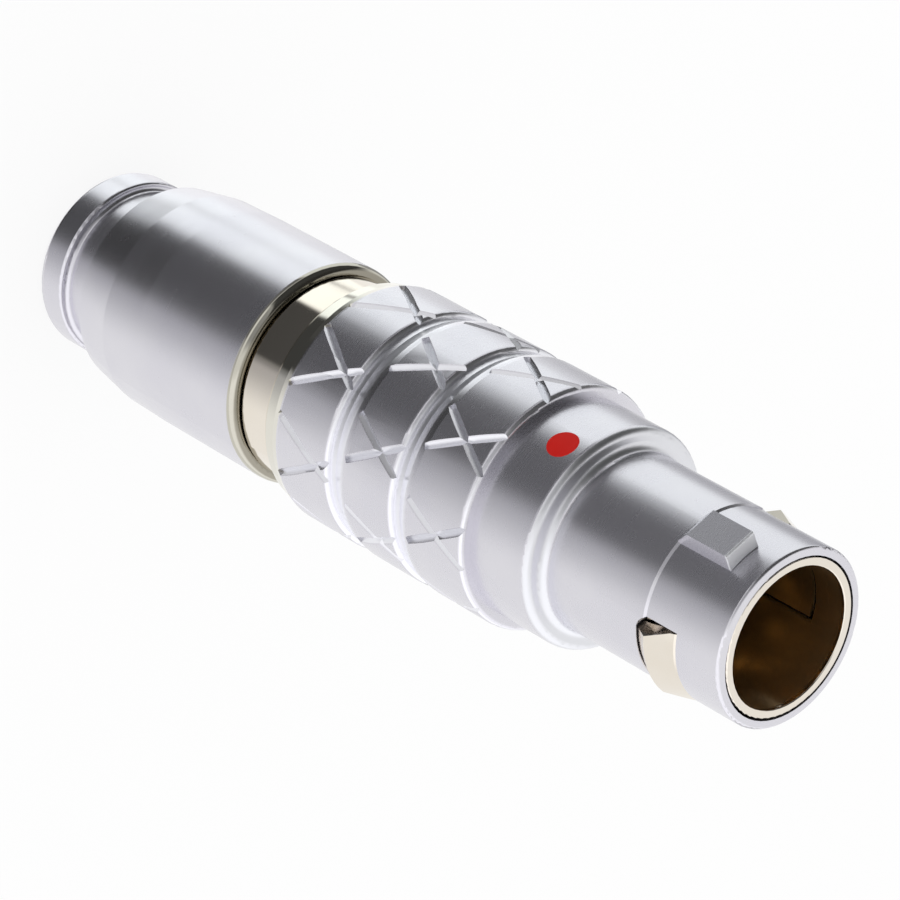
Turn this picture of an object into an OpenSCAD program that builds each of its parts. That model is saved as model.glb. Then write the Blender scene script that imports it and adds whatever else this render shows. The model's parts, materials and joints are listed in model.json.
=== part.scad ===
// Push-pull circular connector: a cable plug with a latch sleeve and a collet nut.
// It stands on its collet nut with the mouth up. Z is the plug's axis, the key and the
// red dot face -Y, and the two latch fingers face +X and -X.

/* [Collet nut] */
// Length of the collet nut
nut_l = 12.85; // [12:0.05:14]
// How far the nut's front stands out from the rear barrel
nut_rise = 0.37; // [0.28:0.01:0.43]
// How much thinner the nut is at the start of its cone
nut_taper = 0.05; // [0.04:0.01:0.14]
// How much the cone narrows to the rear rim in front of the relief groove
nut_cone_drop = 0.31; // [0.19:0.01:0.49]
// Length of the cone between the rear rim and the straight part
nut_cone_l = 1.85; // [1:0.05:3]
// How far the rear lip lies inside the rear rim
lip_drop = 0.44; // [0.28:0.01:0.58]
// Length of the rear lip
lip_l = 1.36; // [1:0.02:1.6]
// Width of the bend relief groove
relief_l = 1.8; // [1.4:0.05:2]
// Depth of the bend relief groove below the rear lip
relief_depth = 0.34; // [0.24:0.02:0.54]
// Rounding of the nut's polished front edge
nut_edge = 0.36; // [0.2:0.01:0.4]
// Radius of the hole for the cable
cable_hole_r = 2.25; // [2.1:0.01:2.4]

/* [Inner body and latch] */
// Radius of the bore at the mouth of the plug
mouth_r = 2.68; // [2.6:0.01:2.72]
// Wall of the latch sleeve inside the nose
latch_wall = 0.32; // [0.26:0.01:0.34]
// Height of the stop that the insert seats on, from the mouth's bore outwards
stop_step = 0.52; // [0.44:0.01:0.57]
// Wall of the inner body where it guides the outer shell's middle
body_wall = 0.5; // [0.4:0.01:0.55]
// Wall of the threaded tail that carries the nut
tail_wall = 0.64; // [0.58:0.01:0.68]
// Step from the threaded tail up to the rear barrel, which shows between nut and shell
barrel_step = 0.23; // [0.18:0.01:0.26]
// Length of the threaded tail inside the nut
tail_l = 6.35; // [5.5:0.05:6.5]
// Length of the rear barrel up to its front step
barrel_l = 8.05; // [7:0.05:9]
// Width of the saw cuts beside the latch fingers
slit_w = 0.14; // [0.1:0.01:0.16]
// Width across one latch finger
finger_w = 3.44; // [3.2:0.02:3.5]
// Length of the solid ring in front of the fingers
mouth_ring_l = 1.38; // [1.2:0.02:1.5]
// How far the latch tooth's crest stands out of the nose
tooth_rise = 0.33; // [0.24:0.01:0.44]
// How far the latch tooth's front edge lies below the nose's surface
tooth_sink = 0.01; // [-0.01:0.01:0.05]
// Length of the tooth's rear bevel
tooth_bevel_l = 0.6; // [0.4:0.02:0.8]
// Cut-back of the tooth's rear corners
tooth_corner = 0.46; // [0.2:0.02:0.6]

/* [Outer shell] */
// Length of the rear taper of the outer shell
taper_l = 1.08; // [0.8:0.02:1.3]
// How far the grip stands out from the rear barrel
grip_rise = 0.68; // [0.65:0.01:0.83]
// How far the outer shell's rear edge stands out from the rear barrel
rear_edge_rise = 0.35; // [0.33:0.01:0.43]
// Barrel length that shows between the nut and the outer shell
barrel_show = 1.8; // [1.3:0.05:2.2]
// Length of the rear grip drum
drum_rear_l = 2.76; // [2.4:0.02:3]
// Length of the middle grip drum
drum_mid_l = 2.44; // [2.2:0.02:2.8]
// Length of the front grip drum
drum_front_l = 2.82; // [2.5:0.02:3]
// Width of the rear ring groove
ring_rear_w = 1.07; // [0.8:0.01:1.2]
// Width of the front ring groove
ring_front_w = 0.98; // [0.8:0.01:1.2]
// Depth of the ring grooves
ring_depth = 0.22; // [0.14:0.01:0.24]
// Wall of the smooth collar that carries the dot
collar_wall = 0.54; // [0.46:0.01:0.66]
// Length of the collar
collar_l = 2.88; // [2.6:0.02:3.2]
// Length of the nose from the collar's face to the front rim
nose_l = 8.62; // [8.4:0.02:9]
// Wall of the nose in front of its step
nose_wall = 0.34; // [0.33:0.01:0.38]
// Height of the step on the nose
nose_step = 0.06; // [0.05:0.01:0.11]
// Distance from the front rim back to the step
tip_l = 3.55; // [3.4:0.01:3.7]
// Number of crossed grooves that run each way round the grip
cross_count = 8; // [6:1:10]
// Angle of the crossed grooves to the axis
cross_angle = 30; // [25:1:35]
// Depth of the crossed grooves
cross_depth = 0.17; // [0.1:0.01:0.18]
// Distance of the crossings from the rear edge of the rear drum
cross_rear = 2.12; // [1.9:0.02:2.3]
// Distance of the crossings from the rear edge of the middle drum
cross_mid = 1.46; // [1.3:0.02:1.6]
// Distance of the crossings from the rear edge of the front drum
cross_front = 1.41; // [1.3:0.01:1.6]

/* [Key, windows and dot] */
// Width of the key
key_w = 1.34; // [1.2:0.02:1.5]
// Length of the key along the nose
key_l = 2.59; // [2.4:0.02:2.8]
// How far the key stands out of the nose
key_rise = 0.67; // [0.49:0.01:0.74]
// Distance from the front rim back to the key
key_back = 1.1; // [0.9:0.02:1.3]
// Length of the latch windows
window_l = 1.88; // [1.8:0.02:1.96]
// Distance from the front rim back to the windows
window_back = 2.05; // [2:0.01:2.12]
// Radius of the red dot
dot_r = 0.6; // [0.5:0.01:0.7]
// Depth of the paint in the dot's recess
dot_depth = 0.12; // [0.08:0.01:0.16]

/* [Contacts and insulator] */
// Number of contacts in the outer ring
ring_contacts = 8; // [8:1:8]
// Radius of the circle that the outer contacts stand on
contact_circle_r = 1.6; // [1.5:0.02:1.7]
// Radius of a contact's pin
pin_r = 0.25; // [0.2:0.01:0.3]
// Radius of a contact's barrel and solder cup
cup_r = 0.42; // [0.38:0.01:0.44]
// Length of a contact's barrel inside the insulator
contact_barrel_l = 4; // [3.5:0.1:4.5]
// Length of a contact's solder cup behind the insulator
cup_l = 2.8; // [2.4:0.1:3]
// Depth of the pin tips behind the mouth
pin_recess = 4.4; // [4.2:0.05:5]
// Length of the insulator
insulator_l = 9; // [8.5:0.1:9.5]
// Wall of the insert carriers round the insulator
carrier_wall = 0.78; // [0.7:0.01:0.85]
// Height of the insulator's flange
flange_rise = 0.4; // [0.28:0.01:0.53]
// Length of the insert carriers
carrier_l = 12; // [11:0.1:12.5]

/* [Cable clamp] */
// Radius of the collet's grip on the cable
clamp_r = 1.95; // [1.8:0.01:2]
// Number of slots in the collet
collet_slots = 6; // [4:1:8]
// Width of the collet's slots
collet_slot_w = 0.4; // [0.3:0.02:0.5]

/* [Clearances] */
// Radial clearance between the latch sleeve and the nose
nose_clear = 0.07; // [0.05:0.01:0.08]
// Radial clearance between the outer shell and the inner body
slide_clear = 0.04; // [0.03:0.01:0.06]
// Radial clearance of the thread between nut and tail
thread_clear = 0.05; // [0.03:0.01:0.07]
// Gap between parts that move apart
part_gap = 0.1; // [0.06:0.01:0.12]
// Travel of the outer shell along the inner body
travel = 0.9; // [0.6:0.05:1]

/* [Hidden] */
$fn = 72;

// Radii from the mouth's bore outwards, each a wall or a clearance from the one inside it
latch_r = mouth_r + latch_wall;
bore_nose_r = latch_r + nose_clear;
tip_r = bore_nose_r + nose_wall;
nose_r = tip_r + nose_step;
tooth_r = tip_r + tooth_rise;
tooth_front_r = tip_r - tooth_sink;
key_r = tip_r + key_rise;
house_r = mouth_r + stop_step;
mid_r = house_r + body_wall;
bore_mid_r = mid_r + slide_clear;
collar_r = bore_mid_r + collar_wall;
tail_r = house_r + tail_wall;
nut_bore_r = tail_r + thread_clear;
barrel_r = tail_r + barrel_step;
bore_rear_r = barrel_r + slide_clear;
rear_edge_r = barrel_r + rear_edge_rise;
grip_r = barrel_r + grip_rise;
nut_r = barrel_r + nut_rise;
nut_waist_r = nut_r - nut_taper;
nut_rim_r = nut_waist_r - nut_cone_drop;
lip_r = nut_rim_r - lip_drop;
relief_r = lip_r - relief_depth;
insulator_r = house_r - carrier_wall;
flange_r = insulator_r + flange_rise;
collet_r = house_r - 0.08;
pocket_r = collet_r + 0.1;

// Stations along the axis, from the nut's rear face to the mouth
barrel_z = nut_l + part_gap;
shell_z = barrel_z + barrel_show;
grip_z = shell_z + taper_l;
ring_rear_z = grip_z + drum_rear_l;
drum_mid_z = ring_rear_z + ring_rear_w;
ring_front_z = drum_mid_z + drum_mid_l;
drum_front_z = ring_front_z + ring_front_w;
collar_z = drum_front_z + drum_front_l;
face_z = collar_z + collar_l;
front_z = face_z + nose_l;
step_z = front_z - tip_l;
mid_z = barrel_z + barrel_l;
dot_z = face_z - 1.17;
window_front_z = front_z - window_back;
window_z = window_front_z - window_l;
key_front_z = front_z - key_back;
tail_z = barrel_z - tail_l;

// Latch sleeve inside the nose
shoulder_z = face_z - 1.75;
root_z = shoulder_z + 0.5;
ring_z = front_z - mouth_ring_l;
finger_end_z = ring_z - slit_w;
finger_gap = 0.04;
tooth_clear = 0.05;
tooth_z = window_z + tooth_clear;
window_w = finger_w + 2 * tooth_clear;
relief_slope = tan(22);

// Housing of the insert and the nut's bore
stop_z = shoulder_z - 0.9;
carrier_z = stop_z - carrier_l;
insulator_front_z = root_z - 0.05;
insulator_z = insulator_front_z - insulator_l;
flange_z = stop_z - 2.45;
flange_l = 1;
neck_z = insulator_z + contact_barrel_l;
pin_end_z = front_z - pin_recess;
rim_z = lip_l + relief_l;
waist_z = rim_z + nut_cone_l;
cone_z = rim_z - 0.16;
cone_l = 2.6;
collet_z = cone_z + 0.4;
collet_end_z = carrier_z - part_gap;
eps = 0.01;

// Square-edged outline corner with the round side kept: cut this away from a profile
module corner_cut(x, y, r, side_x, side_y) {
    translate([x, y])
        difference() {
            translate([side_x > 0 ? -r : -eps, side_y > 0 ? -r : -eps])
                square(r + eps);
            translate([-side_x * r, -side_y * r])
                circle(r);
        }
}

// Concave fillet to add in the corner of a profile
module corner_fill(x, y, r, side_x, side_y) {
    translate([x, y])
        difference() {
            translate([side_x > 0 ? -eps : -r, side_y > 0 ? -eps : -r])
                square(r + eps);
            translate([side_x * r, side_y * r])
                circle(r);
        }
}

// Turned body of the outer shell: taper, three drums, collar and nose round stepped bores
module shell_profile() {
    floor_r = grip_r - ring_depth;
    band_r = rear_edge_r + 0.17;
    shoulder_r = grip_r - 0.04;
    difference() {
        union() {
            polygon([
                [bore_rear_r, shell_z], [rear_edge_r, shell_z],
                [rear_edge_r + 0.1, shell_z + 0.15], [band_r, shell_z + 0.62 * taper_l],
                [band_r + 0.05, shell_z + 0.64 * taper_l], [grip_r, grip_z],
                [grip_r, ring_rear_z], [floor_r, ring_rear_z],
                [floor_r, ring_rear_z + 0.28], [shoulder_r, drum_mid_z - 0.3], [grip_r, drum_mid_z],
                [grip_r, ring_front_z], [floor_r, ring_front_z],
                [floor_r, ring_front_z + 0.28], [shoulder_r, drum_front_z - 0.3], [grip_r, drum_front_z],
                [grip_r, collar_z], [collar_r, collar_z],
                [collar_r, face_z], [nose_r, face_z],
                [nose_r, step_z - 0.1], [tip_r, step_z],
                [tip_r, front_z], [bore_nose_r, front_z],
                [bore_nose_r, shoulder_z + travel + part_gap], [bore_mid_r, shoulder_z + travel + part_gap],
                [bore_mid_r, mid_z + travel + part_gap], [bore_rear_r, mid_z + travel + part_gap]
            ]);
            corner_fill(nose_r, face_z, 0.32, 1, 1);
        }
        corner_cut(grip_r, ring_rear_z, 0.2, 1, 1);
        corner_cut(grip_r, ring_front_z, 0.2, 1, 1);
        corner_cut(grip_r, collar_z, 0.22, 1, 1);
        corner_cut(collar_r, face_z, 0.3, 1, 1);
        corner_cut(tip_r, front_z, 0.12, 1, 1);
    }
}

// One straight stretch of a V groove, centred at height z and turned to angle a
module cross_cut(a, z, l, lean) {
    side = cross_depth * sqrt(2);
    rotate([0, 0, a])
        translate([grip_r, 0, z])
            rotate([lean, 0, 0])
                rotate([0, 0, 45])
                    cube([side, side, l], center = true);
}

// Crossed grooves over one drum; each drum takes two straight stretches per line
module drum_crosses(z0, l, cross_z, phase) {
    turn = 360 * tan(cross_angle) / (2 * PI * grip_r);
    run = l / 2 + 0.3;
    for (i = [0 : cross_count - 1], lean = [-1, 1], part = [0.26, 0.76]) {
        z = z0 + part * l;
        cross_cut(phase + 360 * i / cross_count - lean * turn * (z - cross_z),
            z, run / cos(cross_angle), lean * cross_angle);
    }
}

// Opening for one latch tooth, with a bevelled front wall on its inner side
module window_cut() {
    corner = 0.5;
    land_r = tip_r - 0.03;
    rotate([90, 0, 90])
        linear_extrude(tooth_r + 1)
            union() {
                translate([-window_w / 2, window_z + corner])
                    square([window_w, window_l - corner]);
                translate([-window_w / 2 + corner, window_z])
                    square([window_w - 2 * corner, window_l]);
                for (side = [-1, 1])
                    translate([side * (window_w / 2 - corner), window_z + corner])
                        circle(corner);
            }
    intersection() {
        rotate_extrude()
            polygon([
                [bore_nose_r - 0.05, window_front_z - 0.1],
                [land_r + 0.1 * relief_slope, window_front_z - 0.1],
                [bore_nose_r - 0.05, window_front_z + (land_r - bore_nose_r + 0.05) / relief_slope]
            ]);
        translate([0, -window_w / 2, window_front_z - 1])
            cube([tooth_r + 1, window_w, 3]);
    }
}

// Key on the nose: flat sides and a ramp at the rear
module key() {
    ramp = key_r - tip_r;
    rotate([0, 0, -90])
        translate([0, key_w / 2, 0])
            rotate([90, 0, 0])
                linear_extrude(key_w)
                    difference() {
                        polygon([
                            [bore_nose_r + 0.1, key_front_z - key_l],
                            [tip_r, key_front_z - key_l],
                            [key_r, key_front_z - key_l + ramp],
                            [key_r, key_front_z], [bore_nose_r + 0.1, key_front_z]
                        ]);
                        corner_cut(key_r, key_front_z, 0.08, 1, 1);
                    }
}

module outer_shell() {
    color([0.78, 0.78, 0.80])
        difference() {
            union() {
                rotate_extrude()
                    shell_profile();
                key();
            }
            for (a = [0, 180])
                rotate([0, 0, a])
                    window_cut();
            drum_crosses(grip_z, drum_rear_l, grip_z + cross_rear, -90 + 180 / cross_count);
            drum_crosses(drum_mid_z, drum_mid_l, drum_mid_z + cross_mid, -90);
            drum_crosses(drum_front_z, drum_front_l, drum_front_z + cross_front, -90 + 180 / cross_count);
            dot_cylinder(collar_r + 0.3);
        }
}

// Cylinder that stands on the collar at the dot, from the paint's floor outwards
module dot_cylinder(top) {
    translate([0, -(collar_r - dot_depth), dot_z])
        rotate([90, 0, 0])
            cylinder(r = dot_r, h = top - collar_r + dot_depth);
}

module alignment_dot() {
    color([0.70, 0.08, 0.05])
        intersection() {
            dot_cylinder(collar_r + 0.3);
            translate([0, 0, dot_z - 2 * dot_r])
                cylinder(r = collar_r, h = 4 * dot_r);
        }
}

// Turned inner body: threaded tail, barrel, guide and the thin latch sleeve
module sleeve_profile() {
    difference() {
        union() {
            polygon([
                [house_r, tail_z], [tail_r, tail_z],
                [tail_r, barrel_z], [barrel_r, barrel_z],
                [barrel_r, mid_z], [mid_r, mid_z],
                [mid_r, shoulder_z], [latch_r, shoulder_z],
                [latch_r, front_z], [mouth_r, front_z],
                [mouth_r, stop_z], [house_r, stop_z]
            ]);
        }
        corner_cut(barrel_r, barrel_z, 0.06, 1, -1);
        corner_cut(tail_r, tail_z, 0.15, 1, -1);
        corner_cut(latch_r, front_z, 0.05, 1, 1);
        corner_cut(mouth_r, front_z, 0.06, -1, 1);
    }
}

module latch_sleeve() {
    finger_l = ring_z - root_z;
    color([0.80, 0.74, 0.62])
        difference() {
            rotate_extrude()
                sleeve_profile();
            for (side = [-1, 1]) {
                // Space of the finger and the saw cuts beside it
                translate([side > 0 ? 0.4 : -latch_r - 1, -finger_w / 2 - slit_w, root_z])
                    cube([latch_r + 0.6, finger_w + 2 * slit_w, finger_l]);
            }
        }
}

// Latch finger: a strip of the thin tube with a wedge tooth at its free end
module latch_finger() {
    tooth_l = finger_end_z - tooth_z;
    crest_z = tooth_z + tooth_bevel_l;
    tooth_end_r = tooth_front_r - (finger_end_z - window_front_z + 0.12) * relief_slope;
    color([0.86, 0.81, 0.70]) {
        intersection() {
            rotate_extrude()
                polygon([
                    [mouth_r, root_z + finger_gap], [latch_r, root_z + finger_gap],
                    [latch_r, finger_end_z], [mouth_r, finger_end_z]
                ]);
            translate([0.5, -finger_w / 2, root_z])
                cube([latch_r, finger_w, finger_end_z - root_z]);
        }
        intersection() {
            rotate_extrude()
                polygon([
                    [latch_r - 0.12, tooth_z], [nose_r - 0.06, tooth_z],
                    [tooth_r, crest_z], [tooth_front_r, window_front_z - 0.12],
                    [tooth_end_r, finger_end_z], [latch_r - 0.12, finger_end_z]
                ]);
            rotate([90, 0, 90])
                linear_extrude(tooth_r + 1)
                    polygon([
                        [-finger_w / 2 + tooth_corner, tooth_z],
                        [finger_w / 2 - tooth_corner, tooth_z],
                        [finger_w / 2 - 0.02, tooth_z + 0.65 * tooth_l],
                        [finger_w / 2 - 0.02, finger_end_z],
                        [-finger_w / 2 + 0.02, finger_end_z],
                        [-finger_w / 2 + 0.02, tooth_z + 0.65 * tooth_l]
                    ]);
        }
    }
}

module latch_finger_right() {
    latch_finger();
}

module latch_finger_left() {
    rotate([0, 0, 180])
        latch_finger();
}

// Half of the split metal carrier that holds the insulator by its flange
module carrier_half() {
    color([0.76, 0.70, 0.52])
        intersection() {
            rotate_extrude()
                polygon([
                    [insulator_r, carrier_z], [house_r, carrier_z],
                    [house_r, stop_z], [insulator_r, stop_z],
                    [insulator_r, flange_z + flange_l], [flange_r, flange_z + flange_l],
                    [flange_r, flange_z], [insulator_r, flange_z]
                ]);
            translate([-house_r - 1, 0, carrier_z - 1])
                cube([2 * house_r + 2, house_r + 1, carrier_l + 2]);
        }
}

module carrier_front_half() {
    rotate([0, 0, 180])
        carrier_half();
}

module carrier_back_half() {
    carrier_half();
}

// Places of the contacts: the first stands on the axis
function contact_x(i) = i == 1 ? 0 : contact_circle_r * cos(360 * (i - 2) / ring_contacts);
function contact_y(i) = i == 1 ? 0 : contact_circle_r * sin(360 * (i - 2) / ring_contacts);

module insulator() {
    color([0.20, 0.19, 0.17])
        difference() {
            rotate_extrude()
                polygon([
                    [0, insulator_z], [insulator_r, insulator_z],
                    [insulator_r, flange_z], [flange_r, flange_z],
                    [flange_r, flange_z + flange_l], [insulator_r, flange_z + flange_l],
                    [insulator_r, stop_z], [mouth_r, stop_z],
                    [mouth_r, insulator_front_z], [0, insulator_front_z]
                ]);
            for (i = [1 : ring_contacts + 1])
                translate([contact_x(i), contact_y(i), insulator_z]) {
                    translate([0, 0, -1])
                        cylinder(r = cup_r, h = neck_z - insulator_z + 1);
                    cylinder(r = pin_r, h = insulator_l + 1);
                }
        }
}

// Pin with a rounded tip, a thicker barrel and an open solder cup behind
module contact(i) {
    tip = 0.18;
    translate([contact_x(i), contact_y(i), 0])
        color([0.85, 0.68, 0.30])
            difference() {
                rotate_extrude()
                    difference() {
                        polygon([
                            [0, insulator_z - cup_l], [cup_r, insulator_z - cup_l],
                            [cup_r, neck_z], [pin_r, neck_z],
                            [pin_r, pin_end_z], [0, pin_end_z]
                        ]);
                        corner_cut(pin_r, pin_end_z, tip, 1, 1);
                    }
                translate([0, 0, insulator_z - cup_l - 1])
                    cylinder(r = cup_r - 0.12, h = cup_l);
                rotate([0, 0, 360 * (i - 2) / ring_contacts])
                    translate([0.05, -cup_r, insulator_z - cup_l - 1])
                        cube([cup_r, 2 * cup_r, cup_l - 0.7]);
            }
}

module contact_1() {
    contact(1);
}

module contact_2() {
    contact(2);
}

module contact_3() {
    contact(3);
}

module contact_4() {
    contact(4);
}

module contact_5() {
    contact(5);
}

module contact_6() {
    contact(6);
}

module contact_7() {
    contact(7);
}

module contact_8() {
    contact(8);
}

module contact_9() {
    contact(9);
}

// Slotted clamping sleeve whose rear cone is squeezed by the nut
module collet() {
    throat_l = 4.6;
    color([0.74, 0.66, 0.42])
        difference() {
            rotate_extrude()
                polygon([
                    [clamp_r, collet_z], [collet_r - 0.81, collet_z],
                    [collet_r, cone_z + cone_l], [collet_r, collet_end_z],
                    [collet_r - 0.55, collet_end_z], [collet_r - 0.55, collet_z + throat_l + 0.8],
                    [clamp_r, collet_z + throat_l]
                ]);
            for (i = [0 : collet_slots - 1])
                rotate([0, 0, 360 * i / collet_slots])
                    translate([0.5, -collet_slot_w / 2, collet_z - 1])
                        cube([collet_r + 0.5, collet_slot_w, 7]);
        }
}

// Nut: cone and bend relief groove outside, clamping cone and threaded bore inside
module nut_profile() {
    difference() {
        union() {
            polygon([
                [cable_hole_r, 0], [lip_r, 0],
                [lip_r, lip_l], [relief_r, lip_l],
                [relief_r, rim_z], [nut_rim_r, rim_z],
                [nut_waist_r, waist_z], [nut_r, waist_z + 2],
                [nut_r, nut_l],
                [nut_bore_r, nut_l], [nut_bore_r, tail_z - part_gap],
                [pocket_r, tail_z - part_gap], [pocket_r, cone_z + cone_l],
                [cable_hole_r, cone_z]
            ]);
            corner_fill(relief_r, lip_l, 0.2, 1, 1);
            corner_fill(relief_r, rim_z, 0.3, 1, -1);
        }
        corner_cut(nut_r, nut_l, nut_edge, 1, 1);
        corner_cut(lip_r, 0, 0.28, 1, -1);
        corner_cut(lip_r, lip_l, 0.12, 1, 1);
        corner_cut(cable_hole_r, 0, 0.2, -1, -1);
    }
}

module collet_nut() {
    color([0.76, 0.76, 0.79])
        rotate_extrude()
            nut_profile();
}

outer_shell();
alignment_dot();
latch_sleeve();
latch_finger_right();
latch_finger_left();
carrier_front_half();
carrier_back_half();
insulator();
contact_1();
contact_2();
contact_3();
contact_4();
contact_5();
contact_6();
contact_7();
contact_8();
contact_9();
collet();
collet_nut();
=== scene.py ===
# %% [markdown]
# # Push-pull circular connector
# The imported solids are the shapes that show. This notebook sets a camera, gives the solids
# their finishes, winds the fine thread that the collet nut runs on, builds a white studio
# with cards for the metal to mirror, and compares the size of all that shows with the solids.

import json
import math

import bpy
from mathutils import Matrix, Vector


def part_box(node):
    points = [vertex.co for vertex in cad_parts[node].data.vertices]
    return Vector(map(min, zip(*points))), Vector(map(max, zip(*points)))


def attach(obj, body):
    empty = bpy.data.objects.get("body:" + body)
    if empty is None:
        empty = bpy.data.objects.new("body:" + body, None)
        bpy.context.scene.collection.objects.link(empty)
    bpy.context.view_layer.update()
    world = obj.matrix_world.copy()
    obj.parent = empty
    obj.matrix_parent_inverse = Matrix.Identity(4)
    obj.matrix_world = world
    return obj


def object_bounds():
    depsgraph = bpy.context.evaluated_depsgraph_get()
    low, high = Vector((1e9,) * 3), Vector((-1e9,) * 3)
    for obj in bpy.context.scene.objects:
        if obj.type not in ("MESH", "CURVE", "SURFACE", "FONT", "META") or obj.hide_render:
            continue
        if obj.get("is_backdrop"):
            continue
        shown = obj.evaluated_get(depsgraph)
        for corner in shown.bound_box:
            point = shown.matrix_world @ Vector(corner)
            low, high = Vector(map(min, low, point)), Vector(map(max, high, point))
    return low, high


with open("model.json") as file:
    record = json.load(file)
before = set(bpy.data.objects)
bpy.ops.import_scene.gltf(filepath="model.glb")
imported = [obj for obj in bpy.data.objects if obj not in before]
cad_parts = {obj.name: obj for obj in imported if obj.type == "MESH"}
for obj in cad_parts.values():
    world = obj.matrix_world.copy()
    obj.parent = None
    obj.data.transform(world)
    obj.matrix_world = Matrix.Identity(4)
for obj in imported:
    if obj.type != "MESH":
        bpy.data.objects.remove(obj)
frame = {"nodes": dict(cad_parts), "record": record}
bounds_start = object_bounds()
nodes = frame["nodes"]
MM = 0.001
low, high = [Vector(v) for v in bounds_start]
print("nodes", len(nodes), "height mm", round(high.z / MM, 2))

# %% [markdown]
# ## Camera
# The plug is modelled upright but is shown lying, with its mouth towards the lower right,
# so the camera is rolled by about two thirds of a half turn. It looks down on the mouth and
# the key from 168 mm away, with a long lens. A small function makes the camera's matrix from
# a place, two angles and a roll, because a rolled camera has no simple Euler angles.

# %% Camera
AIM = Vector((-0.25, 0.61, 19.46)) * MM
AZIMUTH, ELEVATION, ROLL = -61.63, 40.62, 119.35
DISTANCE = 168.04 * MM
LENS_ANGLE = 11.194


def camera_matrix(aim, azimuth, elevation, roll, distance):
    a, e = math.radians(azimuth), math.radians(elevation)
    back = Vector((math.cos(a) * math.cos(e), math.sin(a) * math.cos(e), math.sin(e)))
    right = Vector((0, 0, 1)).cross(back).normalized()
    turn = Matrix.Rotation(math.radians(roll), 3, back)
    right, up = turn @ right, turn @ back.cross(right)
    rows = Matrix((right, up, back)).transposed().to_4x4()
    return Matrix.Translation(aim + back * distance) @ rows


camera_data = bpy.data.cameras.new("camera")
camera_data.sensor_fit = "HORIZONTAL"
camera_data.angle = math.radians(LENS_ANGLE)
camera_data.clip_start = 0.01
camera_data.clip_end = 5
camera = bpy.data.objects.new("camera", camera_data)
camera.matrix_world = camera_matrix(AIM, AZIMUTH, ELEVATION, ROLL, DISTANCE)
bpy.context.collection.objects.link(camera)
bpy.context.scene.camera = camera
print("camera at mm", [round(v / MM, 1) for v in camera.location])

# %% [markdown]
# ## Node sockets
# `Wire` wraps a socket so that shader arithmetic reads as arithmetic. `Graph.node` makes
# any other node: its type, its settings, then its inputs by number or name. The short
# methods after it name the few nodes that come back often: a smooth ramp, a colour mix,
# noise, stretched coordinates, and the distance from the plug's axis.


# %% Socket wrapper
# numbers of the colour sockets on a Mix node
MIX_A, MIX_B, MIX_RESULT = 6, 7, 2


class Wire:
    def __init__(self, graph, socket):
        self.graph = graph
        self.socket = socket

    def math(self, operation, *others):
        return self.graph.node("Math", {"operation": operation}, self, *others)[0]

    def __add__(self, other):
        return self.math("ADD", other)

    def __sub__(self, other):
        return self.math("SUBTRACT", other)

    def __mul__(self, other):
        return self.math("MULTIPLY", other)

    def __pow__(self, other):
        return self.math("POWER", other)

    def __radd__(self, other):
        return self.math("ADD", other)

    def __rmul__(self, other):
        return self.math("MULTIPLY", other)

    def __rsub__(self, other):
        return self.graph.node("Math", {"operation": "SUBTRACT"}, other, self)[0]

    def above(self, edge, soft):
        return self.graph.ramp(self, edge - soft, edge + soft)


class Made:
    def __init__(self, graph, made):
        self.graph = graph
        self.made = made

    def __getitem__(self, key):
        return Wire(self.graph, self.made.outputs[key])


class Graph:
    def __init__(self, tree):
        self.tree = tree

    def put(self, socket, value):
        if isinstance(value, Wire):
            self.tree.links.new(value.socket, socket)
        elif hasattr(value, "__len__") and len(value) == 3 and socket.type == "RGBA":
            socket.default_value = (*value, 1)
        else:
            socket.default_value = value

    def node(self, kind, settings=None, *inputs, **named):
        made = self.tree.nodes.new("ShaderNode" + kind)
        for key, value in (settings or {}).items():
            setattr(made, key, value)
        for number, value in enumerate(inputs):
            self.put(made.inputs[number], value)
        for key, value in named.items():
            self.put(made.inputs[key.replace("_", " ")], value)
        return Made(self, made)

    def ramp(self, value, start, end, low=0.0, high=1.0):
        settings = {"interpolation_type": "SMOOTHSTEP"}
        return self.node("MapRange", settings, value, start, end, low, high)["Result"]

    def mix(self, factor, a, b):
        mixed = self.node("Mix", {"data_type": "RGBA"}, factor)
        self.put(mixed.made.inputs[MIX_A], a)
        self.put(mixed.made.inputs[MIX_B], b)
        return mixed[MIX_RESULT]

    def noise(self, vector, scale, detail=2.0, roughness=0.5):
        made = self.node(
            "TexNoise", {}, Vector=vector, Scale=scale, Detail=detail, Roughness=roughness)
        return made["Fac"]

    def stretched(self, scale):
        place = self.node("TexCoord")["Object"]
        return self.node("Mapping", {}, Vector=place, Scale=scale)["Vector"]

    def radius(self):
        """Distance from the plug's axis, height, and the place itself, in metres."""
        place = self.node("TexCoord")["Object"]
        split = self.node("SeparateXYZ", {}, place)
        x, y, z = split["X"], split["Y"], split["Z"]
        return (x * x + y * y) ** 0.5, z, place


def material(name):
    made = bpy.data.materials.new(name)
    made.use_nodes = True
    tree = made.node_tree
    shader = tree.nodes["Principled BSDF"]
    return made, Graph(tree), shader


print("socket wrapper ready")

# %% [markdown]
# ## Metal
# All the metal is turned brass with a thin plating. One recipe serves every piece: a base
# colour with a faint second tone, a roughness that varies with fine rings round the axis,
# and a bump far finer than the machining that a finger can feel. A piece may have zones,
# such as an edge that was cut after blasting: each zone is a mask made from the radius and
# the height, with its own colour and roughness. Masks follow the turned form, so no
# painting and no second mesh is needed.


# %% Metal recipe
RING_SCALE = (90, 90, 14000)
CLOUD_SCALE, SPECK_SCALE = 260.0, 2600.0
TOOL_MARK = 1e-6


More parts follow.
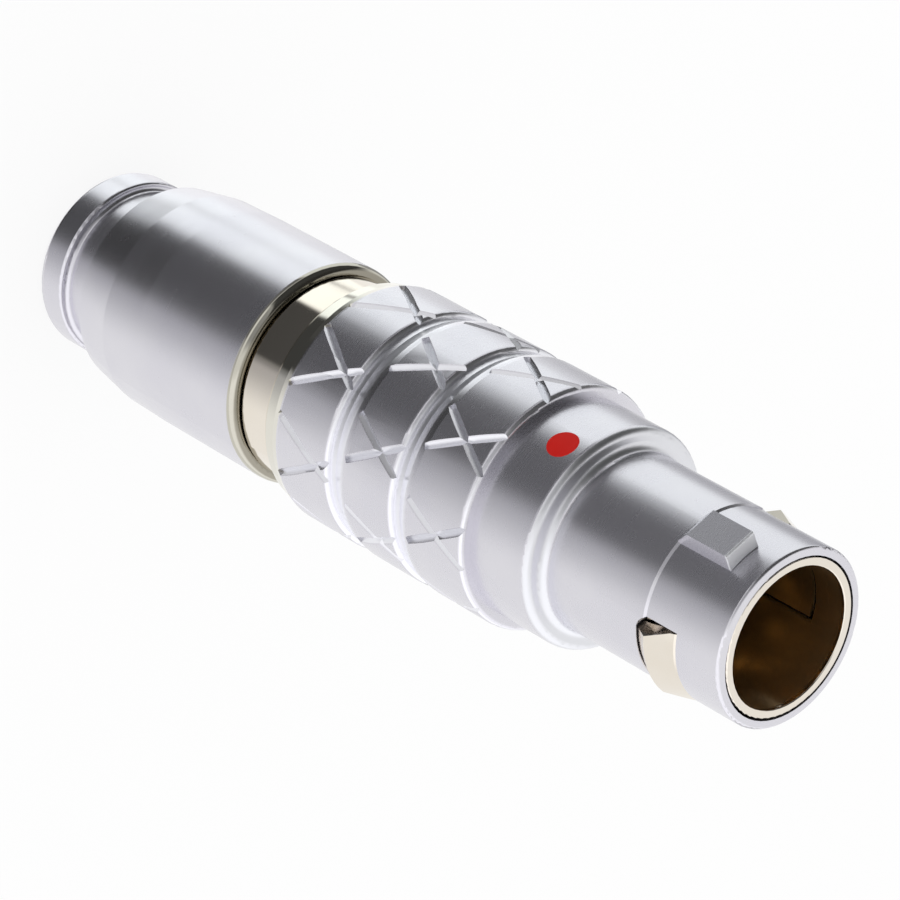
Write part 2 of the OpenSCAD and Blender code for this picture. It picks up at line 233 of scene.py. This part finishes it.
def metal(name, color, tone, rough, grain, bump, zones=()):
    """zones holds (mask(radius, height), color, roughness); a mask runs from 0 to 1."""
    made, graph, shader = material(name)
    radius, height, place = graph.radius()
    rings = graph.noise(graph.stretched(RING_SCALE), 1.0, 3.0, 0.6)
    cloud = graph.noise(place, CLOUD_SCALE, 4.0, 0.6)
    speck = graph.noise(place, SPECK_SCALE, 2.0, 0.7)
    tint = graph.mix(cloud.above(0.5, 0.2), color, tone)
    worn = (cloud - 0.5) * 0.05 + (rings - 0.5) * grain + (speck - 0.5) * 0.03 + rough
    for mask, zone_color, zone_rough in zones:
        part = mask(radius, height)
        tint = graph.mix(part, tint, zone_color)
        worn = worn * (1 - part) + part * ((rings - 0.5) * 0.03 + zone_rough)
    graph.put(shader.inputs["Metallic"], 1.0)
    graph.put(shader.inputs["Base Color"], tint)
    graph.put(shader.inputs["Roughness"], worn)
    relief = rings * 0.8 + speck * 0.2
    dent = graph.node("Bump", {}, Strength=bump, Distance=TOOL_MARK, Height=relief)
    graph.put(shader.inputs["Normal"], dent["Normal"])
    return made


def between(value, low, high, soft):
    return value.above(low, soft) * (1 - value.above(high, soft))


SPAN = {name: [end[2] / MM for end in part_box(name)] for name in nodes}
NUT_FRONT = SPAN["collet_nut"][1]
SHELL_REAR, SHELL_FRONT = SPAN["outer_shell"]
GRIP_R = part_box("outer_shell")[1][0] / MM
TAIL_REAR = SPAN["latch_sleeve"][0]
print("nut ends at mm", round(NUT_FRONT, 2))
print("shell from mm", round(SHELL_REAR, 2), "grip radius", round(GRIP_R, 2))

# %% [markdown]
# ## Satin chrome
# The nut and the shell are blasted before plating, so they are satin. Their turned edges
# were cut afterwards and stay bright: the taper at the shell's rear shows warm bright nickel,
# and the fillet in front of the collar and the key's front face are bright chrome. The nut's
# front rounding is warm polished nickel with its colour darkened as painted shade, and a thin
# ring at the nut's very front is a painted shadow of the gap beside the inner body. The
# floors of the ring grooves and the crossed grooves are cut chrome with a colour brightened
# as a painted highlight. Each zone below is a mask, with its lengths in millimetres from an
# edge that the frame gives.


# %% Chrome zones
NUT_EDGE_L, GAP_SHADOW_L = 0.34, 0.08
TAPER_L = 0.98
GRIP_START, GRIP_END, GRIP_SKIN = SHELL_REAR + 1.1, SHELL_REAR + 11.1, 0.035


# the nut's front rounding: warm polished nickel, with its colour darkened as painted shade
def nut_edge(radius, height):
    return height.above((NUT_FRONT - NUT_EDGE_L) * MM, 0.03 * MM)


# painted shadow: a dark ring at the very front of the nut stands for the shade in the gap beside
# the inner body
def painted_gap_shadow_mask(radius, height):
    return height.above((NUT_FRONT - GAP_SHADOW_L) * MM, 0.03 * MM)


def shell_taper(radius, height):
    return 1 - height.above((SHELL_REAR + TAPER_L) * MM, 0.05 * MM)


# the floors of the grooves: cut chrome with a colour brightened as a painted highlight
def groove_floors_highlight_mask(radius, height):
    grip = between(height, GRIP_START * MM, GRIP_END * MM, 0.02 * MM)
    return grip * (1 - radius.above((GRIP_R - GRIP_SKIN) * MM, 0.02 * MM))


# %% Fillet and key zones
COLLAR_FACE = sum(SPAN["alignment_dot"]) / 2 + 1.17
FILLET_INNER_R, FILLET_OUTER_R = 3.50, 4.26
KEY_FRONT, KEY_ROOT_R = SHELL_FRONT - 1.1, 3.44


def collar_fillet(radius, height):
    span = between(height, (COLLAR_FACE - 0.5) * MM, (COLLAR_FACE + 1.2) * MM, 0.02 * MM)
    return span * between(radius, FILLET_INNER_R * MM, FILLET_OUTER_R * MM, 0.015 * MM)


def key_face(radius, height):
    front = height.above((KEY_FRONT - 0.09) * MM, 0.015 * MM)
    return front * radius.above(KEY_ROOT_R * MM, 0.01 * MM)


print("collar face at mm", round(COLLAR_FACE, 2), "key front", round(KEY_FRONT, 2))

# %% Chrome finishes
CHROME, CHROME_TONE = (0.71, 0.70, 0.74), (0.68, 0.67, 0.72)
# the third colour on the next line is that painted gap shadow at the nut's front
WARM_EDGE, NUT_EDGE_NICKEL_AND_SHADE, PAINTED_GAP_SHADOW = (0.72, 0.70, 0.63), (0.55, 0.53, 0.46), (0.30, 0.28, 0.23)
# the first colour on the next line brightens the groove floors as a painted highlight
GROOVE_FLOOR_HIGHLIGHT, KEY_CUT = (0.86, 0.86, 0.90), (0.93, 0.935, 0.96)
FILLET_CUT = (0.75, 0.755, 0.785)
nut_zones = [(nut_edge, NUT_EDGE_NICKEL_AND_SHADE, 0.07), (painted_gap_shadow_mask, PAINTED_GAP_SHADOW, 0.12)]
nut_chrome = metal("nut_chrome", CHROME, CHROME_TONE, 0.26, 0.04, 0.05, nut_zones)
shell_zones = [
    (shell_taper, WARM_EDGE, 0.08),
    (groove_floors_highlight_mask, GROOVE_FLOOR_HIGHLIGHT, 0.30),
    (collar_fillet, FILLET_CUT, 0.34),
    (key_face, KEY_CUT, 0.6),
]
shell_chrome = metal("shell_chrome", CHROME, CHROME_TONE, 0.27, 0.04, 0.05, shell_zones)
print("chrome zones", len(nut_zones) + len(shell_zones))

# %% [markdown]
# ## Nickel, brass and gold
# The inner body is polished nickel, warm beside the blue-grey chrome. Down the bore the
# light bounces between gilded contacts and walls, so the wall itself is tinted amber there
# and is rougher, as a bored surface is. The carriers and the collet are plain brass, and the
# contacts are gilded.


# %% Nickel, brass and gold
BORE_R, MOUTH_EDGE_L = 2.78, 0.12


def bore_wall(radius, height):
    below = 1 - height.above((SHELL_FRONT - MOUTH_EDGE_L) * MM, 0.08 * MM)
    return (1 - radius.above(BORE_R * MM, 0.03 * MM)) * below


AMBER = (0.74, 0.55, 0.31)
NICKEL, NICKEL_TONE = (0.80, 0.745, 0.665), (0.78, 0.72, 0.63)
BRASS, BRASS_TONE = (0.70, 0.56, 0.30), (0.62, 0.48, 0.25)
GOLD, GOLD_TONE = (0.80, 0.58, 0.26), (0.74, 0.52, 0.22)
nickel = metal("nickel", NICKEL, NICKEL_TONE, 0.07, 0.02, 0.04, [(bore_wall, AMBER, 0.28)])
brass = metal("plain_brass", BRASS, BRASS_TONE, 0.26, 0.10, 0.3)
gold = metal("contact_gold", GOLD, GOLD_TONE, 0.22, 0.04, 0.1)
print("nickel, brass and gold ready")

# %% [markdown]
# ## Paint and plastic
# The dot is a drop of enamel in a shallow recess, a little uneven. The insulator is a dark,
# slightly rough engineering plastic. Neither is a metal, so a second, simpler recipe serves
# both: two tones mixed by a cloud of noise, which also varies the gloss.


# %% Paint and plastic
RIPPLE = 4e-6


def coating(name, color, tone, scale, rough, uneven, bump, shine):
    made, graph, shader = material(name)
    place = graph.node("TexCoord")["Object"]
    cloud = graph.noise(place, scale, 3.0)
    graph.put(shader.inputs["Base Color"], graph.mix(cloud, color, tone))
    graph.put(shader.inputs["Roughness"], cloud * uneven + rough)
    graph.put(shader.inputs["Specular IOR Level"], shine)
    dent = graph.node("Bump", {}, Strength=bump, Distance=RIPPLE, Height=cloud)
    graph.put(shader.inputs["Normal"], dent["Normal"])
    return made


RED, RED_TONE = (0.54, 0.008, 0.004), (0.44, 0.006, 0.003)
DARK, DARK_TONE = (0.07, 0.04, 0.018), (0.05, 0.03, 0.014)
enamel = coating("red_enamel", RED, RED_TONE, 900.0, 0.35, 0.2, 0.3, 0.12)
plastic = coating("insulator_plastic", DARK, DARK_TONE, 700.0, 0.4, 0.2, 0.2, 0.5)
print("enamel and plastic ready")

# %% [markdown]
# ## Who wears what
# The record names a material slot for every piece, so one table from slot to finish dresses
# them all. The shell and the nut share a slot but have their own zones, so they are named.

# %% Finishes
FINISH = {
    "nickel": nickel,
    "carrier_brass": brass,
    "collet_brass": brass,
    "contact_gold": gold,
    "red_paint": enamel,
    "insulator_plastic": plastic,
}
OWN_FINISH = {"outer_shell": shell_chrome, "collet_nut": nut_chrome}
for row in frame["record"]["subparts"]:
    name = row["node"]
    made = OWN_FINISH.get(name) or FINISH[row["material_slot"]]
    for slot in nodes[name].material_slots:
        slot.material = made
print("finishes given to", len(nodes), "pieces")

# %% [markdown]
# ## Thread
# The collet nut runs on a fine thread cut on the inner body's tail, which shows when the
# nut is undone. A thread is one ridge wound as a helix. It could be a bump in the finish,
# but a bump has no edge from the side, so a small ridge with four corners is swept round
# the tail, sixty steps to a turn, and closed at both ends.


# %% Thread on the tail
TAIL_R, CREST_R, PITCH = 3.84, 3.876, 0.5
ROOT_R, ROOT_W, CREST_W = TAIL_R - 0.02, 0.16, 0.04
RIDGE = ((ROOT_R, -ROOT_W), (CREST_R, -CREST_W), (CREST_R, CREST_W), (ROOT_R, ROOT_W))
THREAD_START, THREAD_END = TAIL_REAR + 0.35, NUT_FRONT - 0.35
STEPS = 60


def ridge_ring(step):
    turn = 2 * math.pi * step / STEPS
    across, along = MM * math.cos(turn), MM * math.sin(turn)
    middle = THREAD_START + PITCH * step / STEPS
    return [(r * across, r * along, (middle + z) * MM) for r, z in RIDGE]


count = int((THREAD_END - THREAD_START) / PITCH * STEPS)
points = [point for step in range(count + 1) for point in ridge_ring(step)]
start_cap, end_cap = (3, 2, 1, 0), tuple(4 * count + k for k in range(4))
faces = [start_cap, end_cap]
for step in range(count):
    for k in range(4):
        a, b = 4 * step + k, 4 * step + (k + 1) % 4
        faces.append((a, b, b + 4, a + 4))
thread_mesh = bpy.data.meshes.new("tail_thread")
thread_mesh.from_pydata(points, [], faces)
thread_mesh.materials.append(nickel)
thread = bpy.data.objects.new("tail_thread", thread_mesh)
bpy.context.collection.objects.link(thread)
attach(thread, "core")
print("thread turns", round(count / STEPS, 1), "faces", len(faces))

# %% [markdown]
# ## Studio
# Bright metal only looks like metal when it has something dark to mirror. In a product
# studio, cards and flags hang round the plug, far off against its size. Here the world
# itself carries them: for camera and diffuse rays it is plain white at a strength of 1, so
# a colour renders as it is written, and for glossy rays it shows the panels below. Each
# panel has its sides in degrees about the plug's axis, its lower and upper edge as the
# sine of the elevation, and soft borders. A low wall of the plug mirrors a steeper
# direction than a high one, so a panel has a steep tone and a shallow tone, and it swings
# a little between them. A later panel hangs in front of an earlier one.

# %% Panels
# name: (start, end, fades, bottom, top, steep tone, shallow tone, swing)
# start, end, fades and swing are in degrees; bottom and top are sines of an elevation
PANELS = {
    "half_card": (-50, 15, (8, 55), -1.3, -0.16, (0.46, 0.46, 0.48), (0.60, 0.60, 0.62), 9),
    "dark_card": (-125, -36, (8, 14), -1.3, -0.16, (0.055, 0.055, 0.055), (0.20, 0.20, 0.21), 11),
    "bright_card": (-214, -119, (8, 6), -1.3, -0.16, (1.36, 1.42, 1.41), (1.05, 1.08, 1.08), 11),
    "grey_strip": (-165, -154, (5, 5), -1.3, -0.16, (0.50, 0.50, 0.50), (0.80, 0.80, 0.80), 80),
    "rim_card": (-226, -184, (10, 8), -1.3, -0.16, (1.15, 1.15, 1.15), (0.42, 0.42, 0.44), 0),
    "soft_box": (-30, 104, (16, 14), -0.10, 0.80, (1.30, 1.30, 1.32), (1.30, 1.30, 1.32), 0),
    "grey_flag": (-96, -40, (10, 20), 0.20, 0.96, (0.40, 0.40, 0.41), (0.40, 0.40, 0.41), 0),
    "low_flag": (-196, -100, (12, 12), -1.3, -0.87, (0.07, 0.07, 0.07), (0.07, 0.07, 0.07), 0),
    "black_flag": (-196, -84, (16, 16), -0.08, 0.96, (0.06, 0.06, 0.06), (0.06, 0.06, 0.06), 0),
}
STEEP, SHALLOW = -0.70, -0.60
EDGE_SOFT = 0.06


def turned(graph, split, middle):
    """Angle about the axis from a middle direction, in radians."""
    along = split["X"] * math.cos(middle) + split["Y"] * math.sin(middle)
    across = split["Y"] * math.cos(middle) - split["X"] * math.sin(middle)
    return graph.node("Math", {"operation": "ARCTAN2"}, across, along)[0]


def hang(graph, split, tone, panel):
    start, end, fades, bottom, top, steep, shallow, swing = panel
    low = graph.ramp(split["Z"], STEEP, SHALLOW)
    turn = turned(graph, split, math.radians((start + end) / 2)) + low * math.radians(swing)
    half = math.radians((end - start) / 2)
    left = graph.ramp(turn, -half, -half + math.radians(fades[0]))
    right = graph.ramp(turn, half - math.radians(fades[1]), half, 1.0, 0.0)
    mask = left * right * between(split["Z"], bottom, top, EDGE_SOFT)
    return graph.mix(mask, tone, graph.mix(low, steep, shallow))


# %% World
scene = bpy.context.scene
scene.view_settings.view_transform = "Standard"
WHITE = (1.0, 1.0, 1.0)
world = bpy.data.worlds.new("studio")
scene.world = world
world.use_nodes = True
world.node_tree.nodes.clear()
graph = Graph(world.node_tree)
split = graph.node("SeparateXYZ", {}, graph.node("TexCoord")["Generated"])
tone = WHITE
for panel in PANELS.values():
    tone = hang(graph, split, tone, panel)
plain = graph.node("Background", {}, Color=WHITE, Strength=1.0)
panels = graph.node("Background", {}, Color=tone, Strength=1.0)
glossy = graph.node("LightPath")["Is Glossy Ray"]
both = graph.node("MixShader", {}, glossy, plain["Background"], panels["Background"])
graph.node("OutputWorld", {}, both["Shader"])
print("panels", ", ".join(PANELS))

# %% [markdown]
# ## Floor
# A white floor lies under the plug. Camera, glossy and transmission rays see mostly its own
# white, and the rest is its real shading, so a soft shadow of the plug stays on it. Metal
# mirrors the panels and not the floor, so the floor is hidden from the plug's reflections.


# %% Floor
REACH, FLOOR_GLOW = 0.6, 0.85
FLOOR, FLOOR_TONE = (0.95, 0.95, 0.95), (0.93, 0.93, 0.93)
floor_mesh = bpy.data.meshes.new("floor")
corners = [(-REACH, -REACH, 0), (REACH, -REACH, 0), (REACH, REACH, 0), (-REACH, REACH, 0)]
floor_mesh.from_pydata(corners, [], [(0, 1, 2, 3)])
floor = bpy.data.objects.new("floor", floor_mesh)
bpy.context.collection.objects.link(floor)
floor.visible_glossy = False
floor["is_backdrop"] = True
floor_finish, graph, shader = material("floor_white")
path = graph.node("LightPath")
seen = path["Is Camera Ray"] + path["Is Glossy Ray"] + path["Is Transmission Ray"]
seen = seen.math("MINIMUM", 1.0) * FLOOR_GLOW
cloud = graph.noise(graph.node("TexCoord")["Object"], 60.0, 2.0)
graph.put(shader.inputs["Base Color"], graph.mix(cloud, FLOOR, FLOOR_TONE))
graph.put(shader.inputs["Roughness"], 0.9)
glow = graph.node("Emission", {}, Color=WHITE, Strength=1.0)
own_shading = Wire(graph, shader.outputs[0])
both = graph.node("MixShader", {}, seen, own_shading, glow["Emission"])
surface = floor_finish.node_tree.nodes["Material Output"].inputs["Surface"]
graph.put(surface, both["Shader"])
floor_mesh.materials.append(floor_finish)
print("floor", 2 * REACH, "m wide")

# %% [markdown]
# ## Size kept
# The box of everything that shows is set beside the box of the imported solids. The two
# are the same, because no finish moves a surface and the thread stays inside. The last line
# prints whether the two boxes match.

# %% Compare sizes
bounds_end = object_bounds()
sizes = {
    "start": [list(v) for v in bounds_start],
    "end": [list(v) for v in bounds_end],
}
print("size kept", all(abs(a - b) < 1e-6 for p, q in zip(*sizes.values()) for a, b in zip(p, q)))
